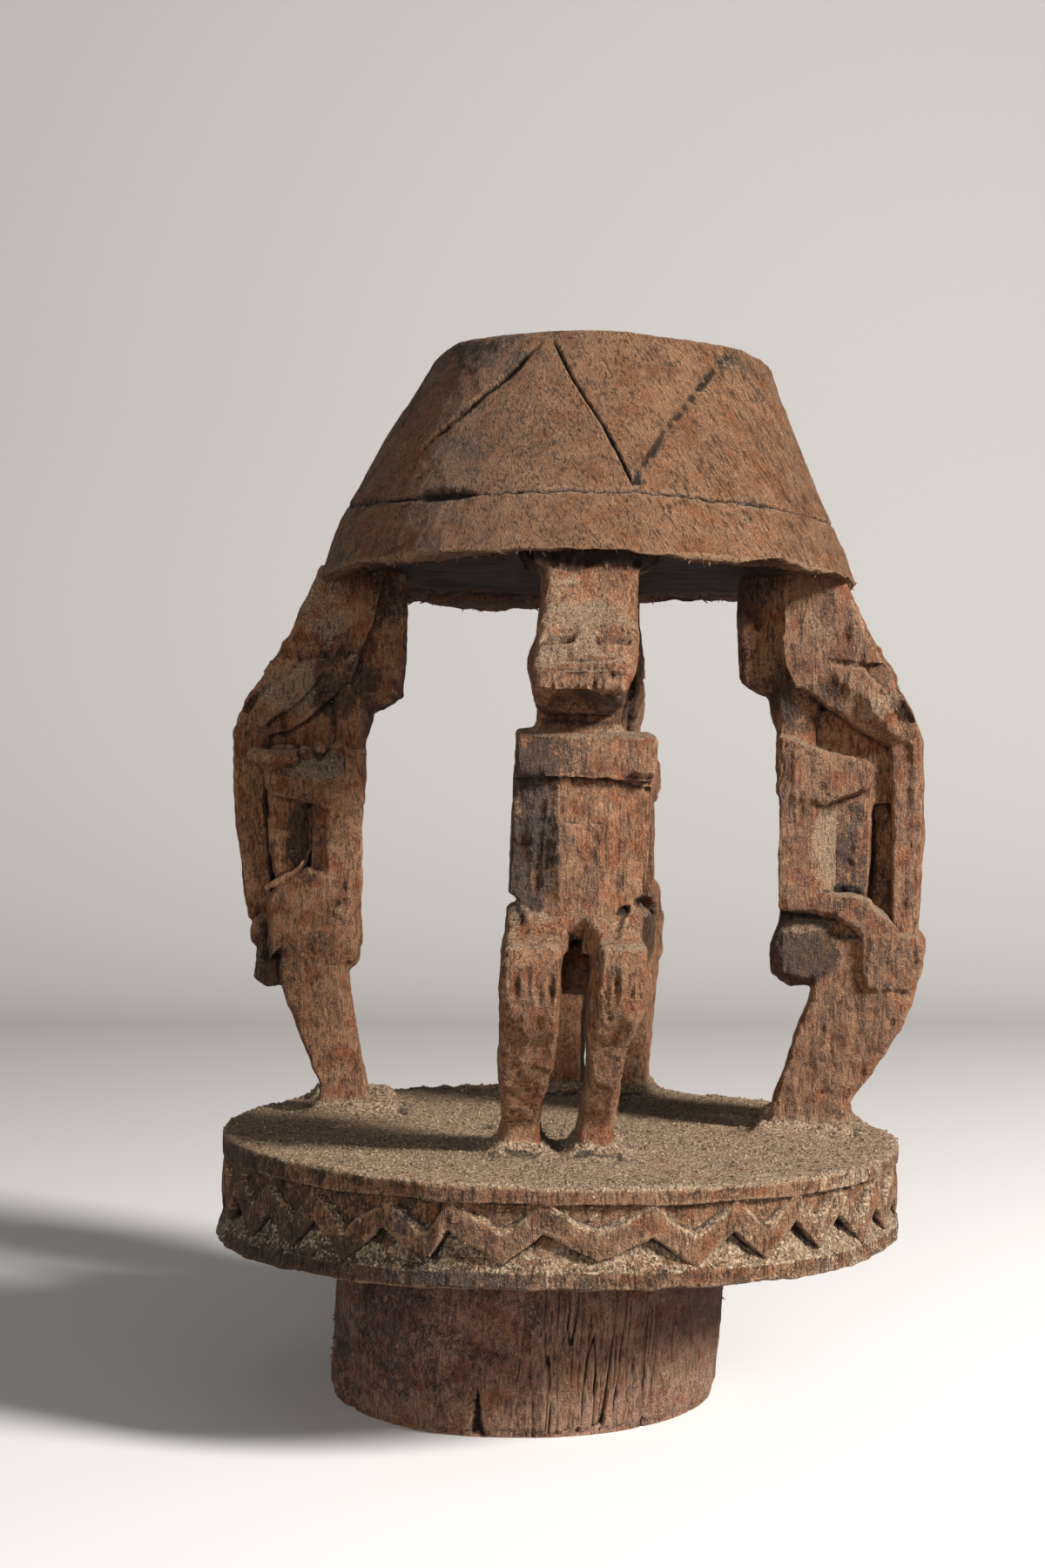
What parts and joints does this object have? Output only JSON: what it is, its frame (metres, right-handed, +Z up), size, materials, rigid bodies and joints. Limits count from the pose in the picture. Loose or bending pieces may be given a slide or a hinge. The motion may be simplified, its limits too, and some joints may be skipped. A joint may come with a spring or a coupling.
{
  "type": "caryatid bowl",
  "caption": "Wooden bowl carried on the heads of seated caryatid figures, on a round zigzag-banded platform and a stump foot, all carved from one block.",
  "frame": {"origin": "middle of the foot's flat base, on the surface that the object stands on", "axes": "+Z up; the viewer who sees the beardless figure's face stands on the -Y side; +X is to the viewer's right"},
  "size_m": [0.1844, 0.1895, 0.263],
  "materials": {
    "figure_wood": "adzed, dry, worn brown with dark patina and dust in the hollows",
    "bowl_wood": "adzed, dry, dusty brown with fine upright tool marks",
    "platform_wood": "dusty grey-brown, granular on top, cut frieze round the edge",
    "foot_wood": "rough, dark, cracked along the grain"
  },
  "bodies": {
    "root": {"foot": "foot_wood", "platform": "platform_wood", "bowl": "bowl_wood", "front_figure_head": "figure_wood", "front_figure_hair": "figure_wood", "front_figure_torso": "figure_wood", "front_figure_hips": "figure_wood", "front_figure_left_arm": "figure_wood", "front_figure_right_arm": "figure_wood", "front_figure_left_leg": "figure_wood", "front_figure_right_leg": "figure_wood", "right_figure_head": "figure_wood", "right_figure_hair": "figure_wood", "right_figure_torso": "figure_wood", "right_figure_hips": "figure_wood", "right_figure_left_arm": "figure_wood", "right_figure_right_arm": "figure_wood", "right_figure_left_leg": "figure_wood", "right_figure_right_leg": "figure_wood", "right_figure_beard": "figure_wood", "back_figure_head": "figure_wood", "back_figure_hair": "figure_wood", "back_figure_torso": "figure_wood", "back_figure_hips": "figure_wood", "back_figure_left_arm": "figure_wood", "back_figure_right_arm": "figure_wood", "back_figure_left_leg": "figure_wood", "back_figure_right_leg": "figure_wood", "back_figure_beard": "figure_wood", "left_figure_head": "figure_wood", "left_figure_hair": "figure_wood", "left_figure_torso": "figure_wood", "left_figure_hips": "figure_wood", "left_figure_left_arm": "figure_wood", "left_figure_right_arm": "figure_wood", "left_figure_left_leg": "figure_wood", "left_figure_right_leg": "figure_wood", "left_figure_beard": "figure_wood"}
  },
  "joints": []
}
